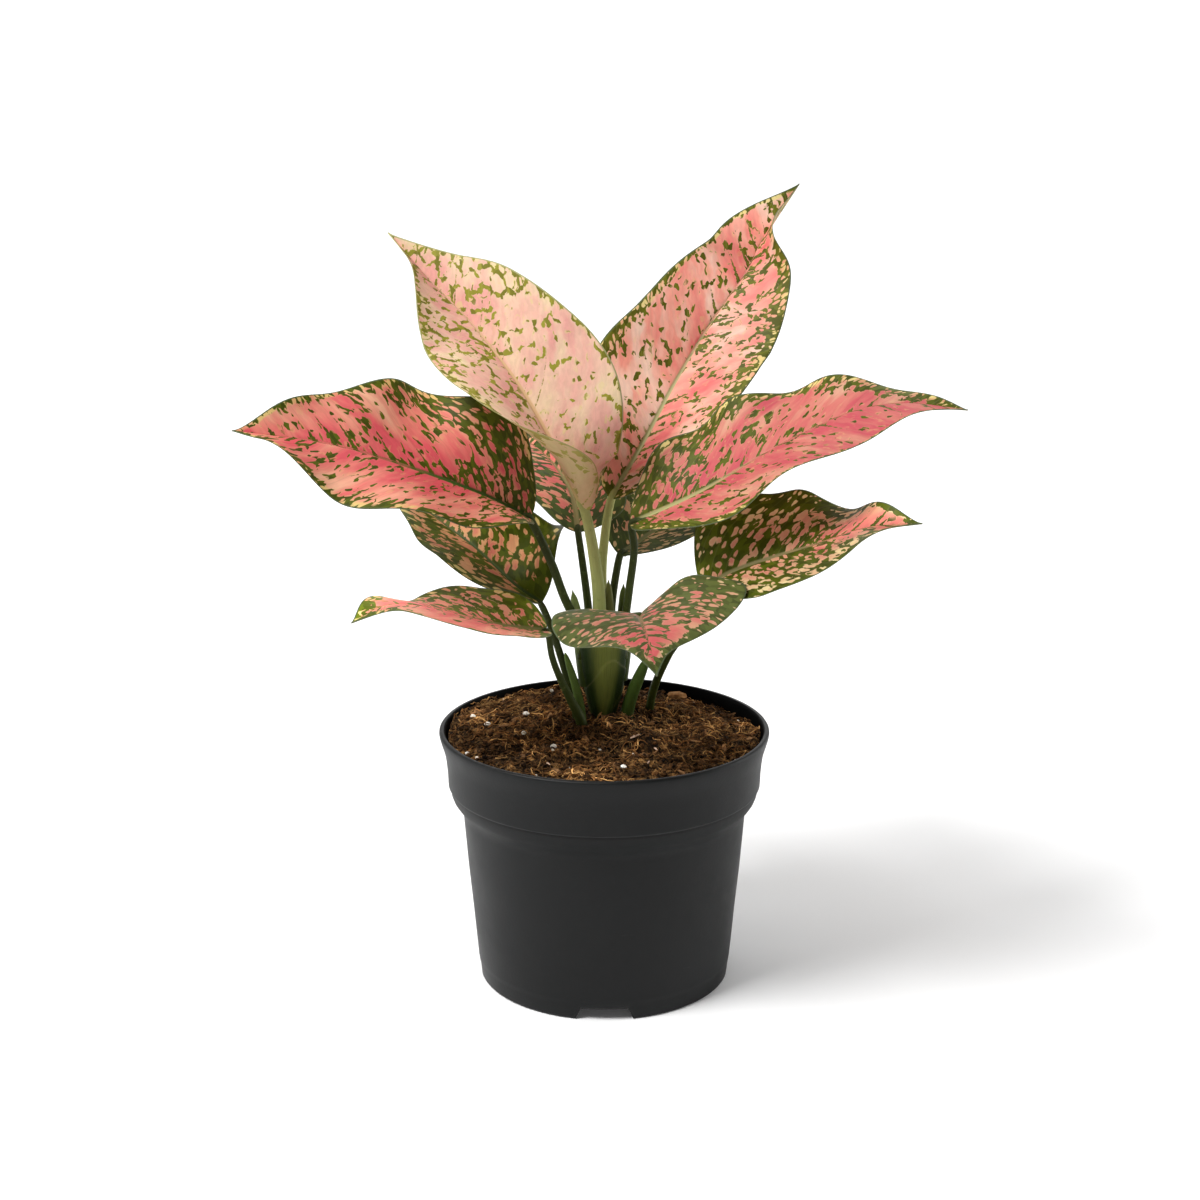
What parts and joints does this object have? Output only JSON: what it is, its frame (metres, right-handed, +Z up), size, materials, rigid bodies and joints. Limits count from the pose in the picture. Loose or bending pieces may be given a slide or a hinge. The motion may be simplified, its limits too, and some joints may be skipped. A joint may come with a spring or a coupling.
{
  "type": "potted house plant",
  "caption": "Leafy aroid house plant with pink, green-edged, waved leaves on slim stalks, growing from soil in a round tapered grower's pot with a rolled rim",
  "frame": {"origin": "on the pot's axis, in the plane that the pot's foot stands on", "axes": "+Z up, +X to the right of the plant's front, +Y away from the viewer of its front"},
  "size_m": [0.2833, 0.2111, 0.3336],
  "materials": {
    "pot": "satin",
    "soil": "matte",
    "stems": "satin",
    "leaves": "satin"
  },
  "bodies": {
    "root": {"pot": "pot", "soil": "soil", "cane": "stems", "petiole_1": "stems", "petiole_2": "stems", "petiole_3": "stems", "petiole_4": "stems", "petiole_5": "stems", "petiole_6": "stems", "petiole_7": "stems", "petiole_8": "stems", "petiole_9": "stems", "petiole_10": "stems", "shoot_left": "stems", "shoot_right": "stems", "blade_1": "leaves", "blade_2": "leaves", "blade_3": "leaves", "blade_4": "leaves", "blade_5": "leaves", "blade_6": "leaves", "blade_7": "leaves", "blade_8": "leaves", "blade_9": "leaves", "blade_10": "leaves"}
  },
  "joints": []
}
